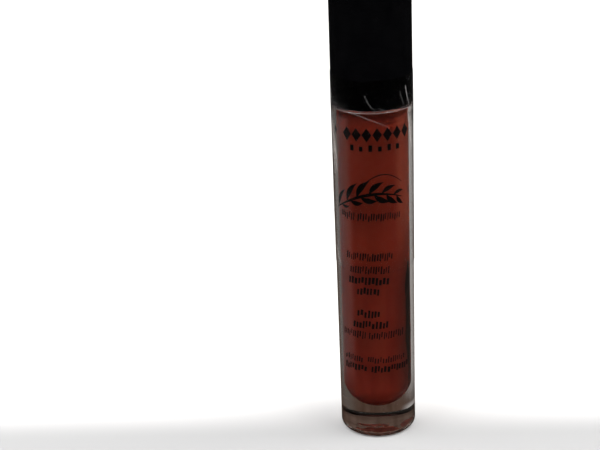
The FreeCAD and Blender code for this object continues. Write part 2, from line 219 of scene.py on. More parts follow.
def mat_fill():
    """Opaque satin liquid with slow swirls of pigment and tiny trapped bubbles. On one side, low down,
    a dark strip with a wavy edge and a softer darkening round it are painted shade."""
    m, nt, b, _ = new_material("lipstick_liquid")
    v = coords(nt, 1.0, (1, 1, 0.4))
    swirl = noise(nt, v, 0.16, 4.0, 0.5, 1.6)
    streak = noise(nt, coords(nt, 1.0, (1, 1, 0.12)), 0.45, 4.0, 0.5, 0.7)
    both = maths(nt, "ADD", maths(nt, "MULTIPLY", swirl, 0.6), maths(nt, "MULTIPLY", streak, 0.4))
    col = ramp(
        nt,
        both,
        [
            (0.30, lin(122, 37, 24)),
            (0.46, lin(129, 40, 26)),
            (0.58, lin(134, 45, 29)),
            (0.72, lin(130, 48, 29)),
        ],
    )
    vor = nt.nodes.new("ShaderNodeTexVoronoi")
    vor.inputs["Scale"].default_value = 0.9
    nt.links.new(coords(nt, 1.0), vor.inputs["Vector"])
    dots = ramp(nt, vor.outputs["Distance"], [(0.0, 1.0), (0.055, 0.6), (0.08, 0.0), (1.0, 0.0)])
    wet = mix_colour(nt, maths(nt, "MULTIPLY", dots, 0.2), col, lin(158, 80, 60))
    # degrees round from the front, positive to the right, and height
    tc = nt.nodes.new("ShaderNodeTexCoord")
    sep = nt.nodes.new("ShaderNodeSeparateXYZ")
    nt.links.new(tc.outputs["Object"], sep.inputs[0])
    turn = maths(nt, "ARCTAN2", sep.outputs["X"], maths(nt, "MULTIPLY", sep.outputs["Y"], -1.0))
    deg = maths(nt, "MULTIPLY", turn, 180.0 / math.pi)
    z = z_of(nt)
    # Painted shade: below about 37 mm the right side is darkened, softly from about 15 degrees round, and to near
    # black in a wavy-edged strip between about 80 and 110 degrees (low, strip, soft, fade, shade).
    wave = noise(nt, coords(nt, 1.0, (0.2, 0.2, 1.0)), 0.11, 2.0, 0.5)
    wave2 = noise(nt, coords(nt, 1.0, (0.3, 0.3, 1.0)), 0.19, 3.0, 0.6)
    wavy = maths(nt, "ADD", deg, maths(nt, "MULTIPLY", maths(nt, "SUBTRACT", wave, 0.5), 34.0))
    far = maths(nt, "ADD", deg, maths(nt, "MULTIPLY", maths(nt, "SUBTRACT", wave2, 0.5), 44.0))
    taper = maths(nt, "ADD", remap(nt, z, 6.0, 20.0, 12.0, 0.0, True), remap(nt, z, 33.0, 38.0, 0.0, 10.0, True))
    edge = maths(nt, "ADD", z, maths(nt, "MULTIPLY", maths(nt, "SUBTRACT", wave, 0.5), 4.0))
    low = maths(nt, "MULTIPLY", remap(nt, edge, 37.9, 36.6, 0.0, 1.0, True), remap(nt, z, 5.2, 8.5, 0.0, 1.0, True))
    strip = maths(
        nt,
        "MULTIPLY",
        remap(nt, maths(nt, "SUBTRACT", wavy, taper), 79.0, 82.5, 0.0, 1.0, True),
        remap(nt, maths(nt, "ADD", far, taper), 104.0, 111.0, 1.0, 0.0, True),
    )
    soft = maths(nt, "MULTIPLY", remap(nt, deg, 15.0, 80.0, 0.0, 0.55, True), remap(nt, deg, 100.0, 175.0, 1.0, 0.0, True))
    fade = maths(nt, "MULTIPLY", remap(nt, edge, 47.0, 28.0, 0.0, 1.0, True), remap(nt, z, 5.2, 8.5, 0.0, 1.0, True))
    shade = maths(nt, "MAXIMUM", maths(nt, "MULTIPLY", low, strip), maths(nt, "MULTIPLY", fade, soft))
    # Painted light: above about 37 mm the colour turns lighter, and above 38 mm a lighter patch is painted on the
    # right flank, between about 42 and 150 degrees round.
    painted_flank_light = maths(nt, "MULTIPLY", remap(nt, deg, 42.0, 70.0, 0.0, 1.0, True), remap(nt, deg, 105.0, 150.0, 1.0, 0.0, True))
    painted_flank_light = maths(nt, "MULTIPLY", painted_flank_light, remap(nt, z, 38.0, 50.0, 0.0, 0.75, True))
    painted_light_colour = mix_colour(nt, remap(nt, z, 34.0, 40.0, 0.0, 1.0, True), wet, mix_colour(nt, dots, lin(148, 48, 29), lin(158, 80, 60)))
    painted_light_colour = mix_colour(nt, painted_flank_light, painted_light_colour, lin(184, 84, 62))
    # The painted shade darkens the colour to near black here.
    final = mix_colour(nt, shade, painted_light_colour, lin(16, 2, 1))
    nt.links.new(final, b.inputs["Base Color"])
    nt.links.new(remap(nt, swirl, 0.3, 0.7, 0.38, 0.52), b.inputs["Roughness"])
    b.inputs["Specular IOR Level"].default_value = 0.25
    nt.links.new(bump(nt, both, 0.12, 0.05), b.inputs["Normal"])
    return m


def mat_cap():
    """Piano-black moulded shell: hair scratches and faint dust."""
    m, nt, b, _ = new_material("gloss_black_shell")
    fine = noise(nt, coords(nt, 1.0, (1, 1, 0.12)), 3.5, 5.0, 0.6)
    scratch = ramp(nt, fine, [(0.0, 0.0), (0.64, 0.0), (0.69, 1.0), (1.0, 1.0)])
    cloud = noise(nt, coords(nt, 1.0), 0.35, 4.0, 0.6)
    base = ramp(nt, cloud, [(0.3, lin(3, 3, 4)), (0.7, lin(6, 6, 7))])
    nt.links.new(base, b.inputs["Base Color"])
    r = maths(
        nt,
        "ADD",
        remap(nt, cloud, 0.35, 0.7, 0.06, 0.11),
        maths(nt, "MULTIPLY", scratch, 0.10),
    )
    nt.links.new(r, b.inputs["Roughness"])
    b.inputs["Specular IOR Level"].default_value = 0.07
    ripple = noise(nt, coords(nt, 1.0, (1, 1, 0.5)), 0.25, 2.0, 0.4)
    nt.links.new(bump(nt, ripple, 0.25, 0.03), b.inputs["Normal"])
    return m


def mat_moulded(name, colour, rough=(0.38, 0.5), grain=0.02, spec=0.45):
    """Plain injection-moulded plastic with a fine spark-eroded grain."""
    m, nt, b, _ = new_material(name)
    n1 = noise(nt, coords(nt, 1.0), 2.2, 6.0, 0.6)
    n2 = noise(nt, coords(nt, 1.0), 0.4, 3.0, 0.5)
    lo = tuple(c * 0.86 for c in colour)
    hi = tuple(min(1.0, c * 1.12) for c in colour)
    nt.links.new(ramp(nt, n2, [(0.3, lo), (0.7, hi)]), b.inputs["Base Color"])
    nt.links.new(remap(nt, n1, 0.3, 0.7, rough[0], rough[1]), b.inputs["Roughness"])
    b.inputs["Specular IOR Level"].default_value = spec
    nt.links.new(bump(nt, n1, 0.4, grain), b.inputs["Normal"])
    return m


def mat_wiper():
    """Natural polyethylene: milky, slightly translucent, tinted by product at the lip."""
    m, nt, b, _ = new_material("natural_polyethylene")
    z = z_of(nt)
    n = noise(nt, coords(nt, 1.0), 1.3, 5.0, 0.6)
    edge = maths(nt, "ADD", z, maths(nt, "MULTIPLY", n, 3.0))
    stain = remap(nt, edge, 76.5, 79.0, 0.85, 0.0, True)
    col = mix_colour(nt, stain, (0.60, 0.59, 0.56), lin(120, 42, 30))
    nt.links.new(col, b.inputs["Base Color"])
    nt.links.new(remap(nt, n, 0.3, 0.7, 0.32, 0.5), b.inputs["Roughness"])
    b.inputs["Subsurface Weight"].default_value = 0.25
    b.inputs["Subsurface Radius"].default_value = (1.0, 0.9, 0.8)
    b.inputs["Subsurface Scale"].default_value = 0.0006
    nt.links.new(bump(nt, n, 0.3, 0.02), b.inputs["Normal"])
    return m


def mat_foam():
    m, nt, b, _ = new_material("white_foam")
    vor = nt.nodes.new("ShaderNodeTexVoronoi")
    vor.inputs["Scale"].default_value = 5.0
    nt.links.new(coords(nt, 1.0), vor.inputs["Vector"])
    n = noise(nt, coords(nt, 1.0), 1.0, 4.0, 0.6)
    nt.links.new(ramp(nt, n, [(0.3, (0.54, 0.53, 0.51)), (0.7, (0.62, 0.61, 0.59))]), b.inputs["Base Color"])
    b.inputs["Roughness"].default_value = 0.75
    nt.links.new(bump(nt, vor.outputs["Distance"], 0.6, 0.06), b.inputs["Normal"])
    return m


def mat_stem():
    """Gloss black rod, wet with streaks of product over the stretch that sits in it."""
    m, nt, b, _ = new_material("wand_rod")
    z = z_of(nt)
    n = noise(nt, coords(nt, 1.0, (1, 1, 0.18)), 1.1, 5.0, 0.6, 0.8)
    level = maths(nt, "ADD", z, maths(nt, "MULTIPLY", n, 26.0))
    wet = remap(nt, level, 56.0, 80.0, 1.0, 0.0, True)
    cover = maths(nt, "MULTIPLY", wet, remap(nt, n, 0.36, 0.50, 0.25, 1.0, True))
    col = mix_colour(nt, cover, lin(14, 14, 15), lin(122, 36, 24))
    nt.links.new(col, b.inputs["Base Color"])
    nt.links.new(remap(nt, cover, 0, 1, 0.18, 0.30), b.inputs["Roughness"])
    nt.links.new(bump(nt, cover, 0.5, 0.05), b.inputs["Normal"])
    return m


def mat_flock():
    """Short nylon flock soaked in product: fibrous bump, soft sheen, paler dry patches."""
    m, nt, b, _ = new_material("stained_flock")
    f = noise(nt, coords(nt, 1.0), 9.0, 6.0, 0.7)
    big = noise(nt, coords(nt, 1.0), 0.8, 3.0, 0.5)
    col = ramp(nt, big, [(0.3, lin(96, 26, 18)), (0.6, lin(122, 40, 28)), (0.8, lin(136, 58, 42))])
    nt.links.new(col, b.inputs["Base Color"])
    b.inputs["Roughness"].default_value = 0.72
    b.inputs["Sheen Weight"].default_value = 0.18
    b.inputs["Sheen Roughness"].default_value = 0.4
    nt.links.new(bump(nt, f, 0.8, 0.06), b.inputs["Normal"])
    return m


def mat_label():
    """Round sticker in the shade's colour, with a paler ring and paper tooth."""
    m, nt, b, _ = new_material("shade_sticker")
    r = radius_of(nt)
    ring = ramp(
        nt,
        maths(nt, "DIVIDE", r, 6.0),
        [(0.0, 0.0), (0.86, 0.0), (0.87, 1.0), (0.905, 1.0), (0.915, 0.0), (1.0, 0.0)],
    )
    n = noise(nt, coords(nt, 1.0), 3.0, 5.0, 0.6)
    base = ramp(nt, n, [(0.3, lin(86, 33, 23)), (0.7, lin(97, 40, 28))])
    nt.links.new(mix_colour(nt, ring, base, lin(176, 150, 138)), b.inputs["Base Color"])
    nt.links.new(remap(nt, n, 0.3, 0.7, 0.42, 0.55), b.inputs["Roughness"])
    nt.links.new(bump(nt, n, 0.3, 0.02), b.inputs["Normal"])
    return m


def mat_film():
    """Clear shrink film: all but invisible straight on, a soft haze at a slant, wrinkled gloss."""
    m, nt, b, _ = new_material("clear_shrink_film")
    b.inputs["Base Color"].default_value = (1.0, 1.0, 1.0, 1)
    b.inputs["Transmission Weight"].default_value = 1.0
    b.inputs["IOR"].default_value = 1.10
    b.inputs["Sheen Weight"].default_value = 0.02
    b.inputs["Sheen Roughness"].default_value = 0.35
    n = noise(nt, coords(nt, 1.0, (1, 1, 0.3)), 0.5, 4.0, 0.55, 1.2)
    nt.links.new(remap(nt, n, 0.35, 0.7, 0.015, 0.05), b.inputs["Roughness"])
    nt.links.new(bump(nt, n, 0.25, 0.03), b.inputs["Normal"])
    return m


def mat_painted_glint_strip(name, alpha, colour):
    """A pulled fold or cut edge of the film: thin and half see-through, with a whitish colour that is a painted
    glint.
    """
    m, nt, b, _ = new_material(name)
    n = noise(nt, coords(nt, 1.0), 1.6, 3.0, 0.6)
    nt.links.new(ramp(nt, n, [(0.3, tuple(c * 0.8 for c in colour)), (0.7, colour)]), b.inputs["Base Color"])
    b.inputs["Roughness"].default_value = 0.18
    nt.links.new(remap(nt, n, 0.35, 0.65, alpha * 0.55, alpha), b.inputs["Alpha"])
    nt.links.new(bump(nt, n, 0.3, 0.03), b.inputs["Normal"])
    return m


def mat_ink(name, colour, rough=0.45):
    """Screen-printed ink: slightly uneven cover."""
    m, nt, b, _ = new_material(name)
    n = noise(nt, coords(nt, 1.0), 6.0, 4.0, 0.6)
    lo = tuple(c * 0.7 for c in colour)
    hi = tuple(min(1.0, c * 1.4) for c in colour)
    nt.links.new(ramp(nt, n, [(0.35, lo), (0.65, hi)]), b.inputs["Base Color"])
    nt.links.new(remap(nt, n, 0.3, 0.7, rough - 0.08, rough + 0.1), b.inputs["Roughness"])
    b.inputs["Specular IOR Level"].default_value = 0.12
    nt.links.new(bump(nt, n, 0.3, 0.01), b.inputs["Normal"])
    return m


M = {
    "bottle": mat_bottle(),
    "fill": mat_fill(),
    "cap": mat_cap(),
    "inner": mat_moulded("black_polypropylene", lin(20, 20, 21)),
    "wiper": mat_wiper(),
    "foam": mat_foam(),
    "stem": mat_stem(),
    "core": mat_moulded("soft_tip_core", lin(128, 52, 38), (0.35, 0.5), 0.03),
    "flock": mat_flock(),
    "label": mat_label(),
    "film": mat_film(),
    # The film folds and the cut lip are real ridges, but their whitish colour is a painted glint.
    "crease": mat_painted_glint_strip("film_fold_painted_glint", 0.07, (0.62, 0.60, 0.60)),
    "crease_pale": mat_painted_glint_strip("film_fold_pale_painted_glint", 0.14, (0.66, 0.64, 0.63)),
    "crease_wide": mat_painted_glint_strip("film_fold_wide_painted_glint", 0.27, (0.68, 0.63, 0.60)),
    "fold_bright": mat_painted_glint_strip("film_fold_bright_painted_glint", 0.24, (0.62, 0.60, 0.60)),
    "film_edge_painted_highlight": mat_painted_glint_strip("film_cut_edge_painted_highlight", 0.11, (0.60, 0.47, 0.45)),
    "ink": mat_ink("print_black", lin(14, 3, 2)),
    "ink_thin": mat_ink("print_thin", lin(24, 4, 3)),
}


# ------------------------------------------------------------------ mesh helpers
def finish_mesh(name, bm, material, sharp_deg=35.0, recalc=True):
    if recalc:
        bmesh.ops.recalc_face_normals(bm, faces=bm.faces)
    me = bpy.data.meshes.new(name)
    bm.to_mesh(me)
    bm.free()
    for p in me.polygons:
        p.use_smooth = True
    me.set_sharp_from_angle(angle=math.radians(sharp_deg))
    me.materials.append(material)
    ob = bpy.data.objects.new(name, me)
    scene.collection.objects.link(ob)
    return ob


def arc(cx, cz, r, a0, a1, n):
    """Points of an arc in the profile plane; angles in degrees, 0 along +r."""
    pts = []
    for i in range(n + 1):
        a = math.radians(a0 + (a1 - a0) * i / n)
        pts.append((cx + r * math.cos(a), cz + r * math.sin(a)))
    return pts


def line(p, q, n):
    return [
        (p[0] + (q[0] - p[0]) * i / n, p[1] + (q[1] - p[1]) * i / n)
        for i in range(1, n + 1)
    ]


def lathe(name, profile, material, segments=256, shift=None, closed=True, sharp=35.0):
    """Turns a profile (r, z) in millimetres about Z. Points at r = 0 become poles.
    shift(r, z, angle) may move a point: it returns a new (r, z)."""
    bm = bmesh.new()
    rows = []
    for r, z in profile:
        if r < 1e-6:
            rows.append([bm.verts.new((0, 0, z * MM))])
            continue
        row = []
        for i in range(segments):
            a = TAU * i / segments
            rr, zz = shift(r, z, a) if shift else (r, z)
            row.append(bm.verts.new((rr * math.cos(a) * MM, rr * math.sin(a) * MM, zz * MM)))
        rows.append(row)
    pairs = list(zip(rows, rows[1:]))
    if closed and len(rows[0]) > 1 and len(rows[-1]) > 1:
        pairs.append((rows[-1], rows[0]))
    for a, b in pairs:
        if len(a) == 1 and len(b) == 1:
            continue
        if len(a) == 1 or len(b) == 1:
            pole, ring = (a[0], b) if len(a) == 1 else (b[0], a)
            for i in range(segments):
                bm.faces.new((pole, ring[i], ring[(i + 1) % segments]))
            continue
        for i in range(segments):
            j = (i + 1) % segments
            bm.faces.new((a[i], a[j], b[j], b[i]))
    return finish_mesh(name, bm, material, sharp)


# ------------------------------------------------------------------ sizes, from the CAD nodes
lo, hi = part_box("bottle")
R_TOP = 8.0
R_BASE = 7.78
H_SHOULDER = 71.0
R_CHAMBER = 4.40
R_FOOT = 4.18
NECK_TOP = hi.z / MM
FILL_LO, FILL_HI = (c.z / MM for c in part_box("lipstick_fill"))
CAP_LO, CAP_HI = (c.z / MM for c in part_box("cap_shell"))
FILM_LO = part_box("seal_sleeve_lower")[0].z / MM
FILM_SPLIT_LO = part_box("seal_sleeve_lower")[1].z / MM
FILM_SPLIT_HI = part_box("seal_sleeve_upper")[0].z / MM
FILM_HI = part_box("seal_sleeve_upper")[1].z / MM


def bottle_r(z):
    return R_BASE + (R_TOP - R_BASE) * z / H_SHOULDER


def smooth_bump(x):
    """Trapezoid with soft shoulders: 1 on the crest, 0 at the root."""
    x = abs(x)
    if x < 0.28:
        return 1.0
    if x > 0.66:
        return 0.0
    t = (0.66 - x) / 0.38
    return t * t * (3 - 2 * t)


def thread(z, a, start, lead, turns, fade=0.12):
    """Height 0..1 of a right-hand ridge that starts at angle 0 and height start."""
    best = 0.0
    for k in range(0, int(turns) + 2):
        t = k + a / TAU
        if t < -1e-9 or t > turns:
            continue
        ends = min(1.0, t / fade, (turns - t) / fade)
        best = max(best, smooth_bump(z - start - lead * t) * max(0.0, ends))
    return best


# ------------------------------------------------------------------ bottle
def build_bottle():
    base_e = 0.85
    p = [(0, 0.25)]
    p += line((0, 0.25), (5.6, 0.25), 6)
    p += [(6.0, 0.25)]
    p += arc(6.0, 0.15, 0.10, 90, 0, 3)[1:]
    p += arc(6.2, 0.10, 0.10, 180, 270, 3)
    p += line(p[-1], (R_BASE - base_e, 0.0), 2)
    p += arc(R_BASE - base_e, base_e, base_e, -90, 0, 14)[1:]
    p += line(p[-1], (bottle_r(70.6), 70.6), 60)
    p += arc(bottle_r(70.6) - 0.4, 70.6, 0.4, 0, 90, 8)[1:]
    p += line(p[-1], (6.3, 71.0), 4)
    p += arc(6.3, 71.15, 0.15, 270, 180, 3)[1:]
    p = p[:-1] + [(6.12, 71.06)]
    p += [(6.1, 71.15), (6.1, 71.6), (6.04, 71.68), (5.95, 71.7)]
    p += [(5.66, 71.7), (5.585, 71.74), (5.56, 71.82)]
    p += line((5.56, 71.82), (5.56, 83.75), 100)
    p += arc(5.31, 83.75, 0.25, 0, 90, 5)[1:]
    p += line(p[-1], (R_CHAMBER + 0.2, 84.0), 2)
    p += arc(R_CHAMBER + 0.2, 83.8, 0.2, 90, 180, 4)[1:]
    p += line(p[-1], (R_CHAMBER, 70.0), 10)
    p += line(p[-1], (R_FOOT, 5.2 + R_FOOT), 40)
    p += arc(0, 5.2 + R_FOOT, R_FOOT, 0, -90, 28)[1:-1]
    p += [(0, 5.2)]

    def shift(r, z, a):
        if 74.0 < z < 83.0 and abs(r - 5.56) < 1e-6:
            return r + (5.98 - 5.56) * thread(z, a, 76.2, 3.0, 1.35), z
        return r, z

    ob = lathe("clear_bottle", p, M["bottle"], 256, shift, closed=False, sharp=50.0)
    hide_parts("bottle")
    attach(ob, "bottle")
    return ob


# ------------------------------------------------------------------ product
def build_fill():
    """The product wets the chamber wall, so its skin lies a hair inside the plastic."""
    r = R_CHAMBER + 0.02
    rf = R_FOOT + 0.02
    top = FILL_HI
    p = [(0, 5.2 + R_FOOT - rf)]
    p += arc(0, 5.2 + R_FOOT, rf, -90, 0, 30)[1:]
    p += line(p[-1], (r, 70.0), 60)
    p += line(p[-1], (r, top - 0.25), 2)
    p += [(r - 0.02, top - 0.1), (r - 0.12, top + 0.0), (r - 0.5, top - 0.14), (3.4, top - 0.22), (2.7, top - 0.2)]
    p += [(2.3, top - 0.1), (2.12, top - 0.02), (2.08, top - 0.12)]
    p += line(p[-1], (2.08, 10.2), 30)
    p += arc(0, 10.2, 2.08, 0, -90, 10)[1:-1]
    p += [(0, 8.12)]
    ob = lathe("lipstick_liquid", p, M["fill"], 192, None, closed=False, sharp=50.0)
    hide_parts("lipstick_fill")
    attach(ob, "bottle")
    return ob


# ------------------------------------------------------------------ sticker under the base
def build_label():
    """A thin round sticker. Its adhesive meets the plastic above it only in patches."""
    r1, z0, z1 = 5.9, 0.12, 0.238

    def patch(x, y):
        wob = 0.35 * math.sin(x * 2.3 + y * 1.1) + 0.25 * math.sin(x * 4.1 - y * 3.3 + 1.0)
        a = 1.0 - math.hypot((x - 0.4) / 3.6, (y + 3.3) / 2.0) + 0.5 * wob
        b = 1.0 - math.hypot((x - 4.0) / 1.0, (y + 0.2) / 2.2) + 0.3 * wob
        c = 1.0 - math.hypot((x + 0.6) / 1.9, (y + 0.1) / 0.9) + 0.4 * wob
        return max(a, b, c)

    bm = bmesh.new()
    segs, rings = 160, 40
    top = [[bm.verts.new((0, 0, z1 * MM))]]
    for i in range(1, rings + 1):
        rr = (r1 - 0.05) * i / rings
        row = []
        for k in range(segs):
            a = TAU * k / segs
            x, y = rr * math.cos(a), rr * math.sin(a)
            up = 0.018 if patch(x, y) > 0 and i < rings - 1 else 0.0
            row.append(bm.verts.new((x * MM, y * MM, (z1 + up) * MM)))
        top.append(row)
    for k in range(segs):
        bm.faces.new((top[0][0], top[1][k], top[1][(k + 1) % segs]))
    rim = [[bm.verts.new((r1 * math.cos(TAU * k / segs) * MM, r1 * math.sin(TAU * k / segs) * MM, z * MM)) for k in range(segs)] for z in (z1 - 0.03, z0 + 0.02)]
    low_ = [bm.verts.new(((r1 - 0.03) * math.cos(TAU * k / segs) * MM, (r1 - 0.03) * math.sin(TAU * k / segs) * MM, z0 * MM)) for k in range(segs)]
    rows = top[1:] + rim + [low_]
    for a_, b_ in zip(rows, rows[1:]):
        for k in range(segs):
            j = (k + 1) % segs
            bm.faces.new((a_[k], b_[k], b_[j], a_[j]))
    bm.faces.new(list(reversed(low_)))
    ob = finish_mesh("shade_sticker", bm, M["label"], 40.0)
    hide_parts("shade_label")
    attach(ob, "bottle")


# ------------------------------------------------------------------ cap shell
def build_cap():
    r0, r1, wall = 8.0, 7.89, 0.75

    def ro(z):
        return r0 + (r1 - r0) * (z - CAP_LO) / (CAP_HI - CAP_LO)

    e = 0.7
    top = CAP_HI
    p = [(0, top)]
    p += line((0, top), (r1 - e - 0.4, top - 0.012), 8)
    p += arc(ro(top - e) - e, top - e, e, 90, 0, 12)
    p += line(p[-1], (ro(CAP_LO + 0.18), CAP_LO + 0.18), 50)
    p += arc(r0 - 0.18, CAP_LO + 0.18, 0.18, 0, -90, 6)[1:]
    p += [(r0 - 0.3, CAP_LO), (r0 - wall + 0.12, CAP_LO)]
    p += arc(r0 - wall + 0.12, CAP_LO + 0.12, 0.12, 270, 180, 4)[1:]
    p += line(p[-1], (r0 - wall, 79.5), 6)
    p += [(7.12, 79.75), (7.12, 80.25), (r0 - wall, 80.5)]
    roof = top - 1.4
    p += line(p[-1], (r1 - wall, roof - 0.3), 16)
    p += arc(r1 - wall - 0.3, roof - 0.3, 0.3, 0, 90, 4)[1:]
    p += [(0, roof)]
    ob = lathe("black_cap_shell", p, M["cap"], 256, None, closed=False, sharp=40.0)
    # six ribs stand under the roof
    bm = bmesh.new()
    bm.from_mesh(ob.data)
    for k in range(6):
        a = TAU * k / 6
        q = Matrix.Rotation(a, 4, "Z")
        prof = [(6.2, -0.26), (6.05, -0.2), (6.05, 0.2), (6.2, 0.26), (7.3, 0.4), (7.3, -0.4)]
        lo_, hi_ = [], []
        for x, y in prof:
            lo_.append(bm.verts.new(q @ Vector((x * MM, y * MM, 86.7 * MM))))
            hi_.append(bm.verts.new(q @ Vector((x * MM, y * MM, (roof + 0.1) * MM))))
        n = len(prof)
        for i in range(n):
            j = (i + 1) % n
            bm.faces.new((lo_[i], lo_[j], hi_[j], hi_[i]))
        bm.faces.new(lo_)
        bm.faces.new(list(reversed(hi_)))
    bmesh.ops.recalc_face_normals(bm, faces=bm.faces)
    bm.to_mesh(ob.data)
    bm.free()
    for poly in ob.data.polygons:
        poly.use_smooth = True
    ob.data.set_sharp_from_angle(angle=math.radians(40))
    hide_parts("cap_shell")
    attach(ob, "cap")
    return ob


# ------------------------------------------------------------------ clear seal film
# The fold strips stand a hair proud of the film like real folds; their whitish colour is a painted glint along each
# fold.
# Folds: degrees from the front (positive to the right) and height in mm, then width and kind.
CREASES = [
    ([(-10.2, 74.5), (-8.6, 74.0), (-2.8, 72.4), (4.6, 71.45)], 0.20, "crease"),
    ([(9.6, 71.95), (13.0, 71.55), (16.4, 71.35)], 0.15, "crease"),
    ([(-31.3, 70.70), (-17.9, 70.40), (-4.2, 69.67), (14.7, 68.52), (24.7, 67.52)], 0.20, "crease"),
    ([(52.6, 75.4), (53.6, 74.8), (56.6, 73.31), (60.5, 71.5)], 0.30, "fold_bright"),
    ([(41.0, 74.66), (44.5, 73.16), (49.4, 71.59)], 0.20, "crease"),
    ([(57.5, 70.3), (60.5, 68.0), (64.5, 65.4), (68.0, 61.6)], 0.42, "crease_wide"),
    ([(60.5, 69.6), (64.0, 67.2), (67.5, 64.6), (70.0, 62.6)], 0.36, "crease_wide"),
    ([(65.0, 69.8), (68.5, 67.4), (71.5, 65.6)], 0.34, "crease_wide"),
    ([(69.0, 60.4), (66.5, 56.5), (68.0, 51.0)], 0.26, "crease_pale"),
    ([(-74.5, 70.2), (-71.5, 67.0), (-69.5, 64.0), (-66.0, 61.0)], 0.36, "crease_wide"),
    ([(-71.0, 66.0), (-67.5, 62.6), (-63.5, 60.0), (-61.0, 58.0)], 0.46, "crease_wide"),
    ([(-67.0, 65.2), (-63.5, 62.0), (-60.0, 60.2)], 0.34, "crease_wide"),
    ([(-76.5, 67.8), (-74.0, 63.6), (-70.0, 60.4), (-67.5, 56.8)], 0.40, "crease_wide"),
    ([(-80.0, 74.6), (-76.0, 72.8), (-73.0, 71.5)], 0.30, "crease_pale"),
    ([(128, 76.0), (150, 73.0), (160, 71.6)], 0.22, "crease_pale"),
    ([(196, 70.6), (182, 68.0), (176, 64.4)], 0.20, "crease_pale"),
    ([(204, 69.4), (191, 67.2), (186, 65.0)], 0.16, "crease_pale"),
    ([(238, 76.0), (243, 73.6), (247, 71.6)], 0.24, "crease_pale"),
    ([(150, 52.0), (146, 46.0), (149, 41.0)], 0.22, "crease_pale"),
    ([(-72, 41.6), (-63, 38.9), (-57.5, 37.7)], 0.36, "crease_wide"),
]


def film_r(z, upper):
    if upper:
        return 8.0 + (7.89 - 8.0) * (z - CAP_LO) / (CAP_HI - CAP_LO)
    return bottle_r(z)


def build_creases():
    made = {}
    for pts, width, kind in CREASES:
        upper = pts[-1][1] > (FILM_SPLIT_LO + FILM_SPLIT_HI) / 2
        bm = made.setdefault((kind, upper), bmesh.new())
        # a smooth path through the given points
        path = []
        n = len(pts)
        for i in range(n - 1):
            p0, p1, p2, p3 = pts[max(0, i - 1)], pts[i], pts[i + 1], pts[min(n - 1, i + 2)]
            for k in range(10 if i < n - 2 else 11):
                t = k / 10
                path.append(
                    tuple(
                        0.5 * (2 * p1[j] + (p2[j] - p0[j]) * t + (2 * p0[j] - 5 * p1[j] + 4 * p2[j] - p3[j]) * t * t
                               + (3 * p1[j] - p0[j] - 3 * p2[j] + p3[j]) * t ** 3)
                        for j in (0, 1)
                    )
                )
        rows = []
        m = len(path)
        for i, (deg, z) in enumerate(path):
            a0, a1 = path[max(0, i - 1)], path[min(m - 1, i + 1)]
            k = math.radians(1) * 8.05
            dx, dz = (a1[0] - a0[0]) * k, a1[1] - a0[1]
            L = math.hypot(dx, dz) or 1.0
            t = i / (m - 1)
            w = width * (math.sin(math.pi * min(1.0, 0.06 + t * 0.9)) ** 0.6) / 2
            nx, nz = -dz / L * w, dx / L * w
            row = []
            for u, h in ((-1, 0.0), (-0.5, 0.045), (0, 0.065), (0.5, 0.045), (1, 0.0)):
                aa = math.radians(deg - 90) + u * nx / 8.05
                zz = z + u * nz
                r = film_r(zz, upper) + 0.085 + h
                row.append(bm.verts.new((r * math.cos(aa) * MM, r * math.sin(aa) * MM, zz * MM)))
            aa = math.radians(deg - 90)
            r = film_r(z, upper) + 0.072
            row.append(bm.verts.new((r * math.cos(aa) * MM, r * math.sin(aa) * MM, z * MM)))
            rows.append(row)
        for a, b in zip(rows, rows[1:]):
            for k in range(6):
                q = (k + 1) % 6
                bm.faces.new((a[k], a[q], b[q], b[k]))
        bm.faces.new(rows[0])
        bm.faces.new(list(reversed(rows[-1])))
    for (kind, upper), bm in made.items():
        ob = finish_mesh("%s_%s" % (kind, "upper" if upper else "lower"), bm, M[kind], 70.0)
        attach(ob, "cap" if upper else "bottle")


def build_cut():
    """The raised lip along the tear line, where the sleeve bridges cap and bottle. Its pinkish-white colour is a
    painted highlight along the shoulder.
    """
    for name, z0, z1, body, upper in (
        ("film_lip_lower", FILM_SPLIT_LO - 0.34, FILM_SPLIT_LO - 0.02, "bottle", False),
        ("film_lip_upper", FILM_SPLIT_HI + 0.02, FILM_SPLIT_HI + 0.12, "cap", True),
    ):
        bm = bmesh.new()
        rows = []
        n = 288
        for k in range(n):
            a = TAU * k / n
            s = 0.05 * math.sin(a * 9 + 0.4) + 0.03 * math.sin(a * 23)
            h = (z1 - z0) * (0.75 + 0.25 * math.sin(a * 5 + 1.0) * math.sin(a * 2))
            top, low_ = (z1, z1 - h + s * 0.4) if not upper else (z0 + h + s * 0.4, z0)
            ring = []
            for z, lift in ((low_, 0.078), (low_, 0.098), ((low_ + top) / 2, 0.115), (top, 0.098), (top, 0.078)):
                r = film_r(z, upper) + lift
                ring.append(bm.verts.new((r * math.cos(a) * MM, r * math.sin(a) * MM, z * MM)))
            rows.append(ring)
        for k in range(n):
            a_, b_ = rows[k], rows[(k + 1) % n]
            for i in range(5):
                j = (i + 1) % 5
                bm.faces.new((a_[i], a_[j], b_[j], b_[i]))
        ob = finish_mesh(name, bm, M["film_edge_painted_highlight"], 70.0)
        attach(ob, body)


